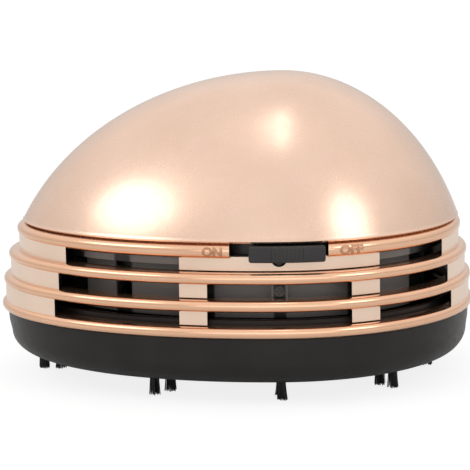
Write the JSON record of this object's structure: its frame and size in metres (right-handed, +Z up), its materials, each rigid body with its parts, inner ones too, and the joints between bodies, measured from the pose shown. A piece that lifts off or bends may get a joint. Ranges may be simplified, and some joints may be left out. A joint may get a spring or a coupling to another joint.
{
  "type": "desktop mini vacuum cleaner",
  "caption": "Small battery vacuum cleaner for a desk: egg-shaped dome on a ribbed band, sliding switch, dark dust tray on bristle tufts.",
  "frame": {"origin": "middle of the whole object's plan, in the plane under the bristle tips", "axes": "+X from the nose to the round tail, -Y to the front where the switch is, +Z up"},
  "size_m": [0.115, 0.092, 0.0729],
  "materials": {
    "rose_gloss": "glossy metallic rose-gold lacquer",
    "rose_band": "glossy metallic rose-gold lacquer",
    "charcoal": "satin moulded",
    "black_wall": "dark, slightly glossy, moulded",
    "knob_grey": "satin moulded",
    "bristle": "fine black nylon bristles",
    "screw_steel": "zinc plated",
    "contact_steel": "nickel plated sheet",
    "motor_steel": "zinc plated can",
    "motor_cap": "plain moulded",
    "brass": "turned",
    "magnet": "sintered ferrite",
    "copper_winding": "enamelled wire on laminations",
    "fan_white": "satin moulded",
    "filter_frame": "satin moulded",
    "filter_mesh": "fine nylon mesh",
    "cell_jacket": "plain printed-free sleeve",
    "wire_red": "soft insulation",
    "wire_yellow": "soft insulation",
    "wire_black": "soft insulation"
  },
  "bodies": {
    "base": {"base_tray": "charcoal", "mouth_duct": "charcoal", "tuft_nose_outer": "bristle", "tuft_nose_inner": "bristle", "tuft_front_left_outer": "bristle", "tuft_front_left_inner": "bristle", "tuft_front_outer": "bristle", "tuft_front_inner": "bristle", "tuft_front_right_outer": "bristle", "tuft_front_right_inner": "bristle", "tuft_tail_outer": "bristle", "tuft_tail_inner": "bristle", "tuft_rear_right_outer": "bristle", "tuft_rear_right_inner": "bristle", "tuft_rear_outer": "bristle", "tuft_rear_inner": "bristle", "tuft_rear_left_outer": "bristle", "tuft_rear_left_inner": "bristle"},
    "upper": {"rib_band": "rose_band", "chassis_tub": "black_wall", "motor_deck": "charcoal", "motor_can": "motor_steel", "motor_end_cap": "motor_cap", "motor_bushes": "brass", "motor_magnets": "magnet", "motor_terminals": "brass", "filter_frame": "filter_frame", "filter_mesh": "filter_mesh", "cell_front": "cell_jacket", "cell_rear": "cell_jacket", "contact_link": "contact_steel", "contact_plus": "contact_steel", "contact_minus": "contact_steel", "spring_nose": "contact_steel", "spring_tail": "contact_steel", "switch_body": "motor_steel", "chassis_screws": "screw_steel", "deck_screws": "screw_steel", "motor_screws": "screw_steel", "front_screw": "screw_steel", "switch_screws": "screw_steel", "wire_red": "wire_red", "wire_yellow": "wire_yellow", "wire_black": "wire_black"},
    "dome": {"dome_cover": "rose_gloss"},
    "knob": {"switch_knob": "knob_grey", "switch_carrier": "charcoal"},
    "lever": {"switch_lever": "charcoal"},
    "rotor": {"motor_shaft": "screw_steel", "armature": "copper_winding", "impeller": "fan_white"}
  },
  "joints": [
    {"name": "body_lift", "type": "slide", "parent": "base", "child": "upper", "axis": [0, 0, 1], "range_m": [0, 0.06]},
    {"name": "dome_lift", "type": "slide", "parent": "upper", "child": "dome", "axis": [0, 0, 1], "range_m": [0, 0.045]},
    {"name": "switch_slide", "type": "hinge", "parent": "upper", "child": "knob", "pos_m": [0.0115, 0, 0.0354], "axis": [0, 0, -1], "range_deg": [0, 5]},
    {"name": "switch_lever_slide", "type": "slide", "parent": "upper", "child": "lever", "axis": [-1, 0, 0], "range_m": [0, 0.00333]},
    {"name": "impeller_spin", "type": "hinge", "parent": "upper", "child": "rotor", "pos_m": [0.0115, 0, 0.0254], "axis": [0, 0, 1], "continuous": true}
  ],
  "couplings": [
    {"joint": "switch_lever_slide", "follows": "switch_slide", "m_per_rad": 0.0381}
  ]
}
